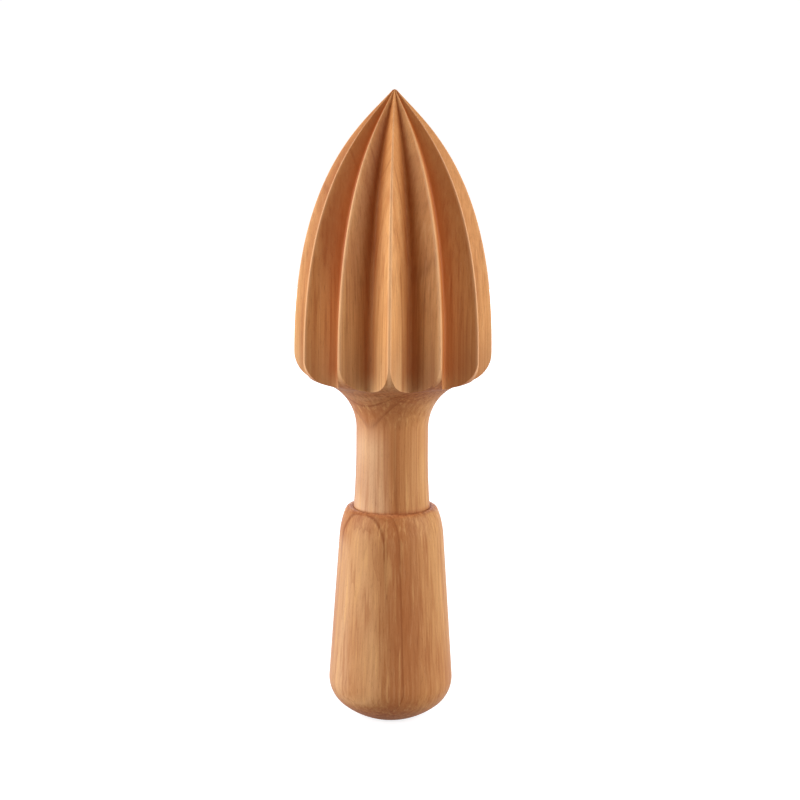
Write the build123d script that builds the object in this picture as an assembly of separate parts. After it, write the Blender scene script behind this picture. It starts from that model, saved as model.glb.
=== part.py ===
from build123d import *
import os
from math import acos, atan2, cos, radians, sin, sqrt, tan

# A hand citrus reamer, turned and fluted from one blank of hardwood.
# Millimetres. +Z runs along the turning axis from the foot of the grip up to the tip,
# and the origin is the middle of the small flat that the reamer stands on.
# A ridge of the head faces -Y.

# Lengths along the axis, from the foot up. The neck gives way to the head at the height
# where the line of the sloping underside would meet the side of the neck.
grip_length = 56.5
neck_length = 30.5
head_length = 77.4

# Grip: a small standing flat, a domed end that is a little flatter than a ball, a rounded
# heel, a slow straight taper, and a rounded shoulder. Its crown is a small round that
# rolls past the top into a crisp corner at the neck.
foot_radius = 6.5
grip_radius = 16.2
dome_extra_radius = 4.3
heel_radius = 8.8
shoulder_width = 2.9
shoulder_depth = 7.7
crown_round_radius = 1.5
crown_roll_angle = 30.0

# Neck: flared a little at its foot, then a waist and a cove that opens under the head.
neck_radius = 9.35
neck_foot_flare = 0.6
cove_radius = 13.2

# Head: a pointed arch in side view, with a rounded lower corner and a sloping underside.
head_radius = 25.5
head_corner_radius = 7.1
head_side_height = 0.4
underside_angle = 16.8
tip_half_angle = 41.4
tip_round_radius = 0.9

# Flutes: V grooves that leave a narrow land along each ridge. Their round bottom is made
# of a few narrow flats, as a gouge leaves it.
flute_count = 12
flute_angle = 90.0
flute_bottom_radius = 1.1
flute_bottom_flats = 3
ridge_land_width = 0.7
flute_sections = 9

# How far the arch holds its first and last directions, as shares of its rise, and where
# the waist lies, as a share of the neck below the cove.
arch_ease_shares = (0.688, 0.158)
waist_share = 0.735

# The most of the sloping underside that the cove and the lower corner may take together.
underside_round_share = 0.95

# How far every cutter runs past the wood that it cuts.
cut_overrun = 5.0

# Radii and heights that follow.
dome_radius = grip_radius + dome_extra_radius
neck_foot_radius = neck_radius + neck_foot_flare
neck_foot_height = grip_length - crown_round_radius * (1 - cos(radians(crown_roll_angle)))
crown_radius = neck_foot_radius + crown_round_radius * sin(radians(crown_roll_angle))
underside_height = grip_length + neck_length
overall_length = underside_height + head_length

# The cove and the lower corner turn by the same angle, one at each end of the sloping
# underside, and each takes up round_reach of that slope for every millimetre of radius.
underside_slope_length = (head_radius - neck_radius) / cos(radians(underside_angle))
round_reach = tan(radians(90 - underside_angle) / 2)
round_room = underside_round_share * underside_slope_length / round_reach
round_fit = min(1, round_room / (cove_radius + head_corner_radius))
cove_round = cove_radius * round_fit
corner_round = head_corner_radius * round_fit
rim_height = underside_height + (head_radius - neck_radius) * tan(radians(underside_angle))
widest_height = rim_height + corner_round * round_reach + head_side_height


def grip_outline():
    """The grip as (radius, height): dome, heel, taper, shoulder and crown, from the foot up."""
    dome_centre = Vector(0, sqrt(dome_radius ** 2 - foot_radius ** 2))
    heel_offset = grip_radius - heel_radius
    heel_drop = sqrt((dome_radius - heel_radius) ** 2 - heel_offset ** 2)
    heel_centre = dome_centre + Vector(heel_offset, -heel_drop)
    heel_start = dome_centre + Vector(heel_offset, -heel_drop).normalized() * dome_radius
    dome = TangentArc((foot_radius, 0), heel_start, tangent=(dome_centre.Y, foot_radius))

    # The taper is the straight line from the shoulder that touches the heel's arc.
    shoulder_start = Vector(crown_radius + shoulder_width, grip_length - shoulder_depth)
    rise = shoulder_start - heel_centre
    taper_lean = atan2(rise.Y, rise.X) - acos(heel_radius / rise.length)
    outward = Vector(cos(taper_lean), sin(taper_lean))
    heel_end = heel_centre + outward * heel_radius
    heel = TangentArc(heel_start, heel_end, tangent=dome % 1)
    taper = Line(heel_end, shoulder_start)

    # The shoulder's arc leaves the taper and runs smoothly into the round of the crown.
    crown_centre = Vector(crown_radius, grip_length - crown_round_radius)
    span = shoulder_start - crown_centre
    shoulder_radius = ((span.length ** 2 - crown_round_radius ** 2)
                       / (span.dot(outward) - crown_round_radius) / 2)
    shoulder_centre = shoulder_start - outward * shoulder_radius
    crown_way = (crown_centre - shoulder_centre).normalized()
    crown_start = crown_centre + crown_way * crown_round_radius
    shoulder = TangentArc(shoulder_start, crown_start, tangent=taper % 1)
    crown = TangentArc(crown_start, (neck_foot_radius, neck_foot_height), tangent=shoulder % 1)
    return [dome, heel, taper, shoulder, crown]


def neck_outline():
    """The neck's curves, from the crisp corner up through the cove to the widest point."""
    cove_start_height = underside_height - cove_round * round_reach
    waist_rise = waist_share * (cove_start_height - neck_foot_height)
    waist = (neck_radius, neck_foot_height + waist_rise)
    flare = TangentArc(waist, (neck_foot_radius, neck_foot_height), tangent=(0, -1))
    cove_and_corner = FilletPolyline(waist,
                                     (neck_radius, underside_height),
                                     (head_radius, rim_height),
                                     (head_radius, widest_height),
                                     radius=(cove_round, corner_round))
    return [flare, *cove_and_corner.edges()]


def head_arch():
    """The curve that the ridges of the head follow, from the widest point to the tip."""
    lean = radians(tip_half_angle)
    start = Vector(head_radius, widest_height)
    end = Vector(tip_round_radius * cos(lean),
                 overall_length - tip_round_radius + tip_round_radius * sin(lean))
    arch_rise = overall_length - widest_height
    first_pull = start + Vector(0, 1) * arch_rise * arch_ease_shares[0]
    last_pull = end + Vector(sin(lean), -cos(lean)) * arch_rise * arch_ease_shares[1]
    return Bezier(start, first_pull, last_pull, end)


def turned_blank():
    """The reamer as it leaves the lathe."""
    tip_round = CenterArc((0, overall_length - tip_round_radius), tip_round_radius,
                          start_angle=tip_half_angle, arc_size=90 - tip_half_angle)
    axis_and_foot = Polyline((0, overall_length), (0, 0), (foot_radius, 0))
    outline = grip_outline() + neck_outline() + [head_arch(), tip_round, *axis_and_foot.edges()]
    return revolve(Plane.XZ * make_face(outline), Axis.Z)


def flute_section(ridge_radius, height):
    """One V groove cut square to the axis, in proportion to the ridge radius there."""
    half_angle = radians(flute_angle / 2)
    land_edge_angle = radians(180 / flute_count) - ridge_land_width / 2 / head_radius
    valley = head_radius * (cos(land_edge_angle) - sin(land_edge_angle) / tan(half_angle))
    bottom_round = CenterArc((valley + flute_bottom_radius / sin(half_angle), 0), flute_bottom_radius,
                             start_angle=90 + flute_angle / 2, arc_size=180 - flute_angle)
    bottom = [bottom_round @ (index / flute_bottom_flats) for index in range(flute_bottom_flats + 1)]
    mouth = head_radius + cut_overrun
    half_mouth = (mouth - valley) * tan(half_angle)
    groove = make_face(Polyline((mouth, half_mouth), *bottom, (mouth, -half_mouth), close=True))
    return Pos(0, 0, height) * groove.scale(ridge_radius / head_radius)


def flute_cutter():
    """The wood that one flute takes away: straight below the widest point, then along the arch."""
    arch = head_arch()
    stations = [arch @ (index / (flute_sections - 1)) for index in range(flute_sections)]
    sections = [flute_section(station.X, station.Y) for station in stations]
    lower_end = extrude(sections[0], underside_height - widest_height - cut_overrun)
    upper_end = extrude(sections[-1], cut_overrun)
    return lower_end + loft(sections) + upper_end


def reamer():
    """The finished reamer: the turned blank with its flutes cut."""
    cutter = flute_cutter()
    first_valley = 180 / flute_count - 90
    flutes = [Rot(0, 0, first_valley + 360 * index / flute_count) * cutter
              for index in range(flute_count)]
    return turned_blank() - flutes


os.makedirs("parts", exist_ok=True)
body = reamer()
body.label = "reamer"
export_step(body, "parts/reamer.step")
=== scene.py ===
from math import acos, atan2, cos, pi, radians, sin, sqrt, tan

import bpy
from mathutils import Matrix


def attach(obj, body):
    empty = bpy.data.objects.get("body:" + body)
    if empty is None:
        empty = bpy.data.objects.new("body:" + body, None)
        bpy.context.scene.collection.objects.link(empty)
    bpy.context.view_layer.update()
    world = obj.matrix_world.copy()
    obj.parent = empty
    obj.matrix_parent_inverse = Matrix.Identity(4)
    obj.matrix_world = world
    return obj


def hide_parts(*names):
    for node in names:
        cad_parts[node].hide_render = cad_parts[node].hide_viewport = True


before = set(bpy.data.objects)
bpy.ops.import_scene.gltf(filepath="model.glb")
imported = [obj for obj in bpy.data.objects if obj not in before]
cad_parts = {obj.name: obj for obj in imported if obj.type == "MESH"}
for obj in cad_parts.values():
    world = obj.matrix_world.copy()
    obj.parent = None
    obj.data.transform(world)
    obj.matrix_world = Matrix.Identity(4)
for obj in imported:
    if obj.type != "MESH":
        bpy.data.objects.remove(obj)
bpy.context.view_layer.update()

# The reamer: one blank of hardwood, turned between centres to the outline that follows.
# Sizes are in millimetres, and points are (radius, height) from the standing flat up. The
# grip comes first, with a flat foot, a domed end, a rounded heel and a slow taper.
FOOT_RADIUS = 6.5
DOME_RADIUS = 20.5
GRIP_RADIUS = 16.2
HEEL_RADIUS = 8.8
TAPER_TOP = (13.6, 48.8)
CROWN_CENTRE = (10.7, 55.0)
CROWN_RADIUS = 1.5
CROWN_END_ANGLE = 120


def away(point, angle, distance):
    return (point[0] + distance * cos(angle), point[1] + distance * sin(angle))


def arc(centre, radius, start, end, steps):
    """Points of a turned round, from one angle to another, in degrees."""
    angles = [radians(start + (end - start) * step / steps) for step in range(steps + 1)]
    return [away(centre, angle, radius) for angle in angles]


def arc_between(centre, start, end, steps):
    """Points of a turned round that runs the short way between two points."""
    first = atan2(start[1] - centre[1], start[0] - centre[0])
    turn = atan2(end[1] - centre[1], end[0] - centre[0]) - first
    turn = (turn + pi) % (2 * pi) - pi
    radius = sqrt((start[0] - centre[0]) ** 2 + (start[1] - centre[1]) ** 2)
    return arc(centre, radius, first * 180 / pi, (first + turn) * 180 / pi, steps)


heel_offset = GRIP_RADIUS - HEEL_RADIUS
heel_drop = sqrt((DOME_RADIUS - HEEL_RADIUS) ** 2 - heel_offset ** 2)
dome_centre = (0.0, sqrt(DOME_RADIUS ** 2 - FOOT_RADIUS ** 2))
heel_centre = (heel_offset, dome_centre[1] - heel_drop)
heel_start = away(dome_centre, atan2(-heel_drop, heel_offset), DOME_RADIUS)

# The taper is the straight line from the shoulder that touches the heel's round.
rise = (TAPER_TOP[0] - heel_centre[0], TAPER_TOP[1] - heel_centre[1])
rise_length = sqrt(rise[0] ** 2 + rise[1] ** 2)
taper_lean = atan2(rise[1], rise[0]) - acos(HEEL_RADIUS / rise_length)
taper_foot = away(heel_centre, taper_lean, HEEL_RADIUS)

# The shoulder leaves the taper smoothly and runs into the crown, which rolls over the top
# into a crisp corner at the neck.
span = (TAPER_TOP[0] - CROWN_CENTRE[0], TAPER_TOP[1] - CROWN_CENTRE[1])
reach = span[0] * cos(taper_lean) + span[1] * sin(taper_lean)
shoulder_radius = ((span[0] ** 2 + span[1] ** 2 - CROWN_RADIUS ** 2)
                   / (reach - CROWN_RADIUS) / 2)
shoulder_centre = away(TAPER_TOP, taper_lean + pi, shoulder_radius)
crown_way = atan2(CROWN_CENTRE[1] - shoulder_centre[1], CROWN_CENTRE[0] - shoulder_centre[0])
crown_start = away(CROWN_CENTRE, crown_way, CROWN_RADIUS)
corner = away(CROWN_CENTRE, radians(CROWN_END_ANGLE), CROWN_RADIUS)

outline = [(0.0, 0.0), (3.0, 0.0), (FOOT_RADIUS - 0.2, 0.0)]
outline += arc_between(dome_centre, (FOOT_RADIUS, 0.0), heel_start, steps=12)
outline += arc_between(heel_centre, heel_start, taper_foot, steps=16)[1:]
outline += [(taper_foot[0] + (TAPER_TOP[0] - taper_foot[0]) * step / 8,
             taper_foot[1] + (TAPER_TOP[1] - taper_foot[1]) * step / 8)
            for step in range(1, 8)]
outline += arc_between(shoulder_centre, TAPER_TOP, crown_start, steps=14)
outline += arc_between(CROWN_CENTRE, crown_start, corner, steps=10)[1:]

# The neck, turned down from the same blank: a shallow flare out of the crisp corner, a
# waist, and the cove under the head. The cove and the head's lower corner share the
# sloping underside between them.
NECK_RADIUS = 9.35
WAIST_SHARE = 0.735
COVE_RADIUS = 13.2
UNDERSIDE_HEIGHT = 87.0
UNDERSIDE_ANGLE = 16.8
UNDERSIDE_ROUND_SHARE = 0.95
HEAD_RADIUS = 25.5
LOWER_CORNER_RADIUS = 7.1
slope = radians(UNDERSIDE_ANGLE)
round_reach = tan((pi / 2 - slope) / 2)
room = UNDERSIDE_ROUND_SHARE * (HEAD_RADIUS - NECK_RADIUS) / cos(slope) / round_reach
fit = min(1.0, room / (COVE_RADIUS + LOWER_CORNER_RADIUS))
cove_radius = COVE_RADIUS * fit
lower_corner_radius = LOWER_CORNER_RADIUS * fit
cove_foot = UNDERSIDE_HEIGHT - cove_radius * round_reach
waist = (NECK_RADIUS, corner[1] + WAIST_SHARE * (cove_foot - corner[1]))
flare_drop = waist[1] - corner[1]
flare_width = corner[0] - waist[0]
flare_radius = (flare_drop ** 2 + flare_width ** 2) / flare_width / 2
outline += arc_between((waist[0] + flare_radius, waist[1]), corner, waist, steps=10)[1:]
outline += arc((NECK_RADIUS + cove_radius, cove_foot), cove_radius,
               180, 90 + UNDERSIDE_ANGLE, steps=20)

# The head, turned from the same blank before it is fluted: a sloping underside, a rounded
# lower corner, and a pointed arch up to a small round tip.
HEAD_SIDE_HEIGHT = 0.4
ARCH_EASE_SHARES = (0.688, 0.158)
ARCH_ROWS = 56
TIP_HEIGHT = 164.4
TIP_RADIUS = 0.9
TIP_ANGLE = 41.4
rim_height = UNDERSIDE_HEIGHT + (HEAD_RADIUS - NECK_RADIUS) * tan(slope)
corner_top = rim_height + lower_corner_radius * round_reach
outline += arc((HEAD_RADIUS - lower_corner_radius, corner_top), lower_corner_radius,
               -90 + UNDERSIDE_ANGLE, 0, steps=26)
lean = radians(TIP_ANGLE)
tip_centre = (0.0, TIP_HEIGHT - TIP_RADIUS)
arch_start = (HEAD_RADIUS, corner_top + HEAD_SIDE_HEIGHT)
arch_end = away(tip_centre, lean, TIP_RADIUS)
arch_rise = TIP_HEIGHT - arch_start[1]
arch_pulls = [arch_start,
              (HEAD_RADIUS, arch_start[1] + ARCH_EASE_SHARES[0] * arch_rise),
              away(arch_end, lean - pi / 2, ARCH_EASE_SHARES[1] * arch_rise),
              arch_end]
arch = []
for row in range(ARCH_ROWS + 1):
    t = row / ARCH_ROWS
    weights = ((1 - t) ** 3, 3 * t * (1 - t) ** 2, 3 * t * t * (1 - t), t ** 3)
    arch.append(tuple(sum(weight * pull[i] for weight, pull in zip(weights, arch_pulls))
                      for i in (0, 1)))
outline += arch
outline += arc(tip_centre, TIP_RADIUS, TIP_ANGLE, 90, steps=6)[1:-1]
outline += [(0.0, TIP_HEIGHT)]

# The outline is spun round the axis, as the blank spins in the lathe.
MM = 0.001
LATHE_STEPS = 192
SEAM_MERGE = 0.0005


def new_mesh(name, points, edges=(), faces=()):
    """A mesh object in metres, made the active one, from points in millimetres."""
    bpy.ops.object.select_all(action="DESELECT")
    mesh = bpy.data.meshes.new(name)
    mesh.from_pydata([[c * MM for c in point] for point in points], edges, faces)
    piece = bpy.data.objects.new(name, mesh)
    bpy.context.scene.collection.objects.link(piece)
    bpy.context.view_layer.objects.active = piece
    piece.select_set(True)
    return piece


reamer = new_mesh("turned_reamer", [(r, 0.0, z) for r, z in outline],
                  edges=[(i, i + 1) for i in range(len(outline) - 1)])
bpy.ops.object.mode_set(mode="EDIT")
bpy.ops.mesh.select_all(action="SELECT")
bpy.ops.mesh.spin(steps=LATHE_STEPS, angle=2 * pi, center=(0, 0, 0), axis=(0, 0, 1))
bpy.ops.mesh.select_all(action="SELECT")
bpy.ops.mesh.remove_doubles(threshold=SEAM_MERGE * MM)
bpy.ops.mesh.normals_make_consistent(inside=False)
bpy.ops.object.mode_set(mode="OBJECT")

# The flutes: twelve V grooves that a cutter makes along the arch, in proportion to its
# radius. This fluted column is the wood that they leave. The grooves' walls meet at a
# right angle in a small round, and sanding has eased the edges of the narrow ridges.
FLUTES = 12
VALLEY_RADIUS = 18.46
GROOVE_RADIUS = 1.1
GROOVE_STEPS = 6
WALL_SHARES = (0.03, 0.3, 0.6, 0.93)
HALF_LAND = 0.3
EASED_EDGE = 0.35
EASED_FACET = 12
OVERRUN = 5.0
SLIVER_MERGE = 0.001
SMOOTH_ANGLE = 35

# One half flute, drawn beside a ridge at angle zero: the eased edge of the ridge, the
# straight wall, and the round bottom at half a turn between two ridges.
half_turn = pi / FLUTES
edge_centre = (HEAD_RADIUS - EASED_EDGE, HALF_LAND - EASED_EDGE * tan(pi / 6))
ridge_top = ((EASED_EDGE + edge_centre[1] * sin(radians(EASED_FACET)))
             / cos(radians(EASED_FACET)))
eased = [away(edge_centre, radians(angle), EASED_EDGE / cos(radians(EASED_FACET / 2)))
         for angle in range(18, 60, EASED_FACET)]
groove_centre = away((0.0, 0.0), half_turn, VALLEY_RADIUS + GROOVE_RADIUS / sin(pi / 4))
bottom = [away(groove_centre, half_turn + pi + step * pi / (4 * GROOVE_STEPS), GROOVE_RADIUS)
          for step in range(GROOVE_STEPS, -1, -1)]
wall = [(eased[-1][0] + (bottom[0][0] - eased[-1][0]) * share,
         eased[-1][1] + (bottom[0][1] - eased[-1][1]) * share)
        for share in WALL_SHARES]
half_flute = [(edge_centre[0] + ridge_top, 0.0)] + eased + wall + bottom
section = []
for flute in range(FLUTES):
    ridge = radians(-90 + 360 / FLUTES * flute)
    turns = [(atan2(y, x), sqrt(x * x + y * y)) for x, y in half_flute]
    turns += [(2 * half_turn - turn, radius) for turn, radius in reversed(turns[1:-1])]
    section += [away((0.0, 0.0), ridge + turn, radius) for turn, radius in turns]

column = new_mesh("fluted_column", [(x, y, -OVERRUN) for x, y in section],
                  faces=[range(len(section))])
bpy.ops.object.mode_set(mode="EDIT")
bpy.ops.mesh.select_all(action="SELECT")
below = (HEAD_RADIUS, -OVERRUN)
for station in arch + [(arch[-1][0], TIP_HEIGHT + OVERRUN)]:
    bpy.ops.mesh.extrude_region_move(
        TRANSFORM_OT_translate={"value": (0, 0, (station[1] - below[1]) * MM)})
    shrink = station[0] / below[0]
    bpy.ops.transform.resize(value=(shrink, shrink, 1), center_override=(0, 0, 0))
    below = station
bpy.ops.mesh.select_all(action="SELECT")
bpy.ops.mesh.normals_make_consistent(inside=False)
bpy.ops.object.mode_set(mode="OBJECT")

bpy.ops.object.select_all(action="DESELECT")
bpy.context.view_layer.objects.active = reamer
reamer.select_set(True)
cut = reamer.modifiers.new("flutes", "BOOLEAN")
cut.operation = "INTERSECT"
cut.solver = "EXACT"
cut.object = column
bpy.ops.object.modifier_apply(modifier=cut.name)
bpy.data.objects.remove(column)
bpy.ops.object.mode_set(mode="EDIT")
bpy.ops.mesh.select_all(action="SELECT")
bpy.ops.mesh.remove_doubles(threshold=SLIVER_MERGE * MM)
bpy.ops.mesh.normals_make_consistent(inside=False)
bpy.ops.object.mode_set(mode="OBJECT")
bpy.ops.object.shade_smooth_by_angle(angle=radians(SMOOTH_ANGLE))

# The wood: a warm, cherry-like hardwood, oiled to a satin finish. The rings are nearly
# flat planes along the axis, because the blank was sawn from well outside the pith.
PITH_DISTANCE = 90.0
PITH = (0.588 * PITH_DISTANCE, 0.809 * PITH_DISTANCE, 0.0)
SWAY = (1.2, 1.2, 0.0)
GRIP_GRAIN_LEAN = 0.035
RING_WIDTH = 1.7
RING_DRIFT = 5.0
RELIEF_DEPTH = 0.03

# Its tints as they look on screen, from 0 to 255.
HEAD_WOOD = (212, 147, 84)
LATE_WOOD = (138, 72, 34)
PAINTED_LIT_NECK_SIDE = (218, 172, 126)
HEART_LINE = (132, 70, 34)
ARCH_LINE = (124, 62, 28)
PAINTED_GRIP_HIGHLIGHT = (214, 172, 132)
PAINTED_NECK_HIGHLIGHT = (220, 182, 146)
DARK_STREAK = (152, 84, 40)
PALE_STREAK = (220, 166, 104)
BLOTCH = (154, 84, 42)
DARK_FIBRE = (118, 62, 28)
PALE_FIBRE = (228, 178, 122)
FLECK = (120, 64, 32)
PORE = (88, 44, 22)
FIGURE_AND_SHADE = (152, 74, 30)
DARK_END_GRAIN = (132, 64, 32)
PALE_END_GRAIN = (190, 120, 72)
PAINTED_CORNER_SHADE = (140, 62, 34)
PAINTED_VALLEY_SHADE = (160, 74, 16)
WORN_RIDGE_AND_HIGHLIGHT = (234, 182, 132)
PAINTED_WARM_SHADE = (150, 74, 32)

# The growth rings' tints by their distance across the blank.
RING_REACH = 26
RING_TINTS = [
    (-26, (190, 134, 82)), (-12, (200, 146, 92)), (-6, (188, 132, 80)),
    (0, (192, 138, 84)), (5.0, (184, 124, 72)), (7.0, (176, 114, 66)),
    (8.6, (176, 112, 64)), (9.35, (176, 112, 64)), (9.6, (144, 82, 44)),
    (9.8, (172, 108, 62)), (11.2, (174, 112, 66)), (12.1, (180, 121, 73)),
    (12.9, (187, 131, 82)), (13.6, (200, 147, 97)), (14.3, (192, 137, 88)),
    (15.2, (182, 124, 76)), (17.0, (204, 152, 102)), (20.0, (202, 150, 98)),
    (22.0, (190, 132, 80)), (26, (194, 138, 86))]

wood = bpy.data.materials.new("oiled_hardwood")
wood.use_nodes = True
tree = wood.node_tree
shader = tree.nodes["Principled BSDF"]


def feed(socket, value):
    if isinstance(value, bpy.types.NodeSocket):
        tree.links.new(value, socket)
    else:
        socket.default_value = value


def reckon(operation, *values):
    node = tree.nodes.new("ShaderNodeMath")
    node.operation = operation
    for socket, value in zip(node.inputs, values):
        feed(socket, value)
    return node.outputs[0]


def times(first, *others):
    for other in others:
        first = reckon("MULTIPLY", first, other)
    return first


def vector(operation, *values):
    node = tree.nodes.new("ShaderNodeVectorMath")
    node.operation = operation
    for socket, value in zip(node.inputs, values):
        feed(socket, value)
    return node.outputs["Value" if operation == "LENGTH" else "Vector"]


def fade(value, low, high):
    """Zero up to low, one from high on, and a smooth rise between; low may be the greater."""
    node = tree.nodes.new("ShaderNodeMapRange")
    node.interpolation_type = "SMOOTHSTEP"
    feed(node.inputs["Value"], value)
    node.inputs["From Min"].default_value = low
    node.inputs["From Max"].default_value = high
    return node.outputs["Result"]


def between(share, first, last):
    """The first value where the share is zero, the last where it is one."""
    return reckon("MULTIPLY_ADD", share, last - first, first)


def screen(tint):
    """A tint from 0 to 255, as the shader takes it."""
    shares = [value / 255 for value in tint]
    return (*(share / 12.92 if share <= 0.04045 else ((share + 0.055) / 1.055) ** 2.4
              for share in shares), 1.0)


def stain(under, amount, tint):
    """Lay a tint over the colour below it, as far as the amount says."""
    node = tree.nodes.new("ShaderNodeMix")
    node.data_type = "RGBA"
    feed(node.inputs[0], amount)
    feed(node.inputs[6], under)
    feed(node.inputs[7], screen(tint) if isinstance(tint, tuple) else tint)
    return node.outputs[2]


coordinates = tree.nodes.new("ShaderNodeTexCoord")
place = vector("MULTIPLY", coordinates.outputs["Object"], (1 / MM, 1 / MM, 1 / MM))
position = tree.nodes.new("ShaderNodeSeparateXYZ")
feed(position.inputs[0], place)
right, back, up = (position.outputs[axis] for axis in "XYZ")
from_axis = vector("LENGTH", vector("MULTIPLY", place, (1, 1, 0)))


def noise(per_mm, detail=2.0, roughness=0.5, output="Fac"):
    """Noise through the blank, with so many changes in a millimetre along x, y and z."""
    node = tree.nodes.new("ShaderNodeTexNoise")
    node.inputs["Scale"].default_value = 1.0
    node.inputs["Detail"].default_value = detail
    node.inputs["Roughness"].default_value = roughness
    feed(node.inputs["Vector"], vector("MULTIPLY", place, per_mm))
    return node.outputs[output]


# Rings lie across the growth planes, bent a little by slow waves. In the grip the grain
# leans with the taper, so its lines run straight down the front.
waves = noise((0.03, 0.03, 0.006), output="Color")
sway = vector("MULTIPLY", vector("SUBTRACT", waves, (0.5, 0.5, 0.5)), SWAY)
from_pith = vector("SUBTRACT", vector("ADD", place, sway), PITH)
across = reckon("SUBTRACT", vector("LENGTH", vector("MULTIPLY", from_pith, (1, 1, 0))),
                PITH_DISTANCE)
down_grip = reckon("MINIMUM", reckon("SUBTRACT", up, 56.0), 0.0)
across = reckon("MULTIPLY_ADD", down_grip, GRIP_GRAIN_LEAN, across)

rings = tree.nodes.new("ShaderNodeValToRGB")
stops = rings.color_ramp.elements
stops.remove(stops[1])
for index, (distance, ring_tint) in enumerate(RING_TINTS):
    stop = stops[0] if index == 0 else stops.new(1.0)
    stop.position = (distance + RING_REACH) / (2 * RING_REACH)
    stop.color = screen(ring_tint)
feed(rings.inputs["Fac"], reckon("MULTIPLY_ADD", across, 1 / (2 * RING_REACH), 0.5))

# In the head the flutes cut the rings so steeply that they hardly show. Between the rings,
# thin darker lines end each season's growth, at uneven distances.
in_head = fade(up, 92.0, 108.0)
calm = between(in_head, 1.0, 0.4)
drift = noise((0.25, 0.25, 0.008))
season = reckon("FRACT",
                times(reckon("MULTIPLY_ADD", drift, RING_DRIFT, across), 1 / RING_WIDTH))
late = reckon("POWER", season, 5.0)
colour = stain(screen(HEAD_WOOD), calm, rings.outputs["Color"])
colour = stain(colour, times(late, 0.28, calm), LATE_WOOD)

# The neck's front-left side, towards the stronger left lamp, is painted paler as painted
# light. A thin dark grain line runs beside it.
in_neck = times(fade(up, 56.0, 57.0), fade(up, 83.0, 72.0))
colour = stain(colour, times(fade(across, 7.4, 10.0), in_neck, 0.85), PAINTED_LIT_NECK_SIDE)
heart_line = times(fade(across, 6.6, 7.2), fade(across, 7.7, 7.2), in_neck)
colour = stain(colour, times(heart_line, 0.45), HEART_LINE)

# One dark line arches over the front of the grip and fades towards its foot. The left edges
# of the grip and the neck get a pale painted highlight, where the stronger left lamp falls.
arch_line = times(fade(across, 11.35, 11.8), fade(across, 12.1, 11.8),
                  between(fade(up, 28.0, 48.0), 0.1, 0.7))
colour = stain(colour, times(arch_line, calm), ARCH_LINE)
painted_grip_highlight = times(fade(right, -9.4, -11.6), fade(up, 52.0, 46.0), fade(up, 5.0, 12.0))
colour = stain(colour, times(painted_grip_highlight, 0.3), PAINTED_GRIP_HIGHLIGHT)
painted_neck_highlight = times(fade(right, -5.6, -7.6), in_neck)
colour = stain(colour, times(painted_neck_highlight, 0.4), PAINTED_NECK_HIGHLIGHT)

# Finer grain: streaks, blotches, fibres, flecks and pores, most of them drawn out along
# the axis. It is plainer towards the tip, and the fibres are fainter in neck and grip.
streak = noise((0.9, 0.9, 0.01), detail=3.0, roughness=0.55)
blotch = noise((0.1, 0.1, 0.03))
fibre = noise((2.2, 2.2, 0.012), roughness=0.55)
fleck = noise((3.0, 3.0, 1.6), detail=3.0, roughness=0.7)
pores = fade(noise((5.0, 5.0, 0.35), detail=1.0), 0.64, 0.74)
plain = between(fade(up, 115.0, 150.0), 1.0, 0.4)
faint = times(plain, between(in_head, 0.5, 1.0))
for amount, tint in [
        (times(fade(streak, 0.5, 0.68), 0.42, plain), DARK_STREAK),
        (times(fade(streak, 0.47, 0.3), 0.4, plain), PALE_STREAK),
        (times(fade(blotch, 0.5, 0.72), 0.35), BLOTCH),
        (times(fade(fibre, 0.48, 0.74), 0.28, faint), DARK_FIBRE),
        (times(fade(fibre, 0.45, 0.28), 0.22, faint), PALE_FIBRE),
        (times(fade(fleck, 0.52, 0.7), 0.14), FLECK),
        (times(pores, 0.22), PORE)]:
    colour = stain(colour, amount, tint)

# A darker, redder figure runs up each side of the head, stronger towards the tip and a little
# to the right. It also lays painted shade on the flanks that face front and back.
sideways = reckon("DIVIDE", reckon("ABSOLUTE", right), from_axis)
figure_and_shade = times(fade(sideways, 0.68, 0.72), fade(sideways, 0.88, 0.86), fade(up, 86.0, 90.0),
               between(fade(up, 100.0, 145.0), 0.2, 0.48), between(blotch, 0.6, 1.4),
               between(fade(right, -12.0, 12.0), 0.85, 1.2))
colour = stain(colour, figure_and_shade, FIGURE_AND_SHADE)

# End grain drinks more oil, so it is darker, redder, mottled and less glossy.
facing = tree.nodes.new("ShaderNodeSeparateXYZ")
feed(facing.inputs[0], coordinates.outputs["Normal"])
end_grain = fade(reckon("ABSOLUTE", facing.outputs["Z"]), 0.4, 0.95)
mottle = fade(noise((1.1, 1.1, 1.1), detail=4.0, roughness=0.7), 0.36, 0.64)
mottled = stain(screen(DARK_END_GRAIN), mottle, PALE_END_GRAIN)
colour = stain(colour, times(end_grain, 0.6), mottled)

# Painted shade darkens the crisp corner at the neck's foot, more to the right, away from the
# stronger left lamp.
beside = reckon("SUBTRACT", from_axis, corner[0])
above = reckon("SUBTRACT", up, corner[1])
gap = reckon("SQRT", reckon("ADD", times(beside, beside), times(above, above)))
colour = stain(colour, times(fade(gap, 1.3, 0.2), fade(right, -6.0, 4.0), 0.32), PAINTED_CORNER_SHADE)

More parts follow.
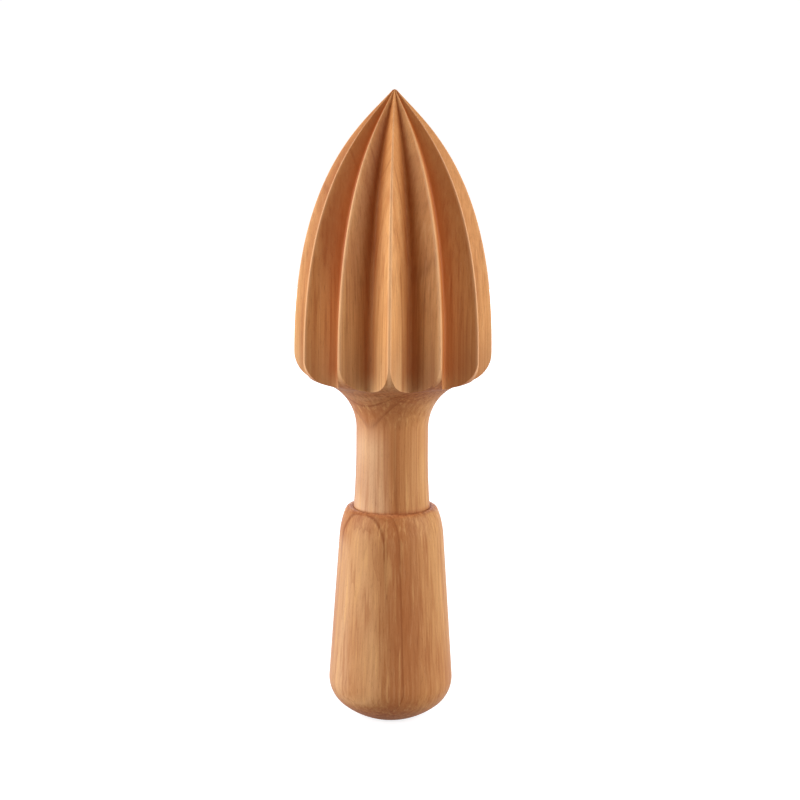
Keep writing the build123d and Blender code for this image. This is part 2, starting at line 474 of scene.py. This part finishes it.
# Painted shade darkens the bottoms of the flutes. The ridges are worn a little paler and
# carry a painted highlight as well. Towards the tip, the walls left of the front ridge are
# painted redder, as the warm bounced light in their shade.
in_flutes = fade(up, 90.0, 96.0)
from_ridge = times(reckon("PINGPONG", reckon("ARCTAN2", back, right), half_turn),
                   1 / half_turn)
colour = stain(colour, times(fade(from_ridge, 0.35, 0.95), in_flutes, 0.55), PAINTED_VALLEY_SHADE)
colour = stain(colour, times(fade(from_ridge, 0.12, 0.03), in_flutes, 0.45), WORN_RIDGE_AND_HIGHLIGHT)
painted_warm_shade = times(fade(right, 0.5, -4.0), fade(up, 105.0, 130.0), fade(from_ridge, 0.08, 0.3))
colour = stain(colour, times(painted_warm_shade, 0.3), PAINTED_WARM_SHADE)

feed(shader.inputs["Base Color"], colour)
feed(shader.inputs["Roughness"],
     reckon("ADD", times(fibre, 0.12), between(end_grain, 0.38, 0.53)))
shader.inputs["Specular IOR Level"].default_value = 0.08
relief = tree.nodes.new("ShaderNodeBump")
relief.inputs["Strength"].default_value = 0.5
relief.inputs["Distance"].default_value = RELIEF_DEPTH * MM
feed(relief.inputs["Height"], reckon("SUBTRACT", fibre, pores))
feed(shader.inputs["Normal"], relief.outputs["Normal"])

reamer.data.materials.clear()
reamer.data.materials.append(wood)
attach(reamer, "root")
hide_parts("reamer")

# The floor: a plain pale sheet that runs out of sight, in metres like the lamps. The
# camera and reflections see it nearly white round the foot, where it keeps the reamer's
# shadow, and white further off.
FLOOR_RADIUS = 14.0
FLOOR_GREY = (0.45, 0.45, 0.45, 1.0)
WHITE_FROM = 0.1
WHITE_BY = 0.35


def shown_to(ray_names, shown, otherwise):
    """The first shader for the rays named, such as the camera's, the second for the rest."""
    rays = tree.nodes.new("ShaderNodeLightPath")
    named = rays.outputs[ray_names[0]]
    for ray_name in ray_names[1:]:
        named = reckon("MAXIMUM", named, rays.outputs[ray_name])
    choice = tree.nodes.new("ShaderNodeMixShader")
    feed(choice.inputs[0], named)
    feed(choice.inputs[1], otherwise)
    feed(choice.inputs[2], shown)
    return choice.outputs[0]


bpy.ops.object.select_all(action="DESELECT")
bpy.ops.mesh.primitive_circle_add(vertices=96, radius=FLOOR_RADIUS, fill_type="NGON")
floor = bpy.context.object
floor.name = "floor"
pale = bpy.data.materials.new("pale_floor")
pale.use_nodes = True
tree = pale.node_tree
tree.nodes.clear()
matt = tree.nodes.new("ShaderNodeBsdfDiffuse")
matt.inputs["Color"].default_value = FLOOR_GREY
bright = tree.nodes.new("ShaderNodeEmission")
on_floor = tree.nodes.new("ShaderNodeTexCoord")
from_foot = fade(vector("LENGTH", on_floor.outputs["Object"]), WHITE_FROM, WHITE_BY)
feed(bright.inputs["Strength"], between(from_foot, 0.8, 1.0))
both = tree.nodes.new("ShaderNodeAddShader")
feed(both.inputs[0], matt.outputs[0])
feed(both.inputs[1], bright.outputs[0])
surface = tree.nodes.new("ShaderNodeOutputMaterial")
feed(surface.inputs["Surface"],
     shown_to(("Is Camera Ray", "Is Glossy Ray"), both.outputs[0], matt.outputs[0]))
floor.data.materials.append(pale)

# The room round the floor: white to the camera and in reflections, and only a weak, warm
# fill on the wood itself.
FILL_COLOUR = (1.0, 0.5, 0.2, 1.0)
FILL_STRENGTH = 0.12
studio = bpy.data.worlds.new("white_studio")
bpy.context.scene.world = studio
studio.use_nodes = True
tree = studio.node_tree
tree.nodes.clear()
fill = tree.nodes.new("ShaderNodeBackground")
fill.inputs["Color"].default_value = FILL_COLOUR
fill.inputs["Strength"].default_value = FILL_STRENGTH
white = tree.nodes.new("ShaderNodeBackground")
white.inputs["Color"].default_value = (1.0, 1.0, 1.0, 1.0)
white.inputs["Strength"].default_value = 1.0
sky = tree.nodes.new("ShaderNodeOutputWorld")
feed(sky.inputs["Surface"],
     shown_to(("Is Camera Ray", "Is Glossy Ray", "Is Transmission Ray"),
              white.outputs[0], fill.outputs[0]))

# The lamps: three soft boxes of one size, all aimed at the middle of the reamer. The one
# at the left is the strongest, and the one behind is weak. Each is placed by its angle
# from the camera's side, in degrees to the right.
BOX_DISTANCE = 0.7
BOX_HEIGHT = 0.3
BOX_WIDTH = 0.7
BOX_TALL = 0.65
BOX_COLOUR = (0.935, 1.005, 1.12)
AIM_HEIGHT = 0.09
for name, azimuth, power in [("left_box", -75, 9.1), ("right_box", 75, 7.6),
                             ("back_box", 180, 4.5)]:
    swing = radians(azimuth)
    dip = atan2(BOX_HEIGHT - AIM_HEIGHT, BOX_DISTANCE)
    bpy.ops.object.light_add(
        type="AREA",
        location=(BOX_DISTANCE * sin(swing), -BOX_DISTANCE * cos(swing), BOX_HEIGHT),
        rotation=(pi / 2 - dip, 0, swing))
    box = bpy.context.object
    box.name = name
    box.data.shape = "RECTANGLE"
    box.data.size = BOX_WIDTH
    box.data.size_y = BOX_TALL
    box.data.energy = power
    box.data.color = BOX_COLOUR

# The camera: a long lens in front of the reamer and a little above it, at the
# photograph's angle and distance.
CAMERA_PLACE = (0.02094, -0.59963, 0.2)
CAMERA_TURN = (79.1028, -0.437, 1.8983)
SENSOR_WIDTH = 36.0
LENS = 106.2
bpy.ops.object.camera_add(location=CAMERA_PLACE,
                          rotation=[radians(angle) for angle in CAMERA_TURN])
camera = bpy.context.object
camera.name = "camera"
camera.data.sensor_width = SENSOR_WIDTH
camera.data.lens = LENS
camera.data.clip_end = 60.0
bpy.context.scene.camera = camera
bpy.context.scene.view_settings.view_transform = "Standard"
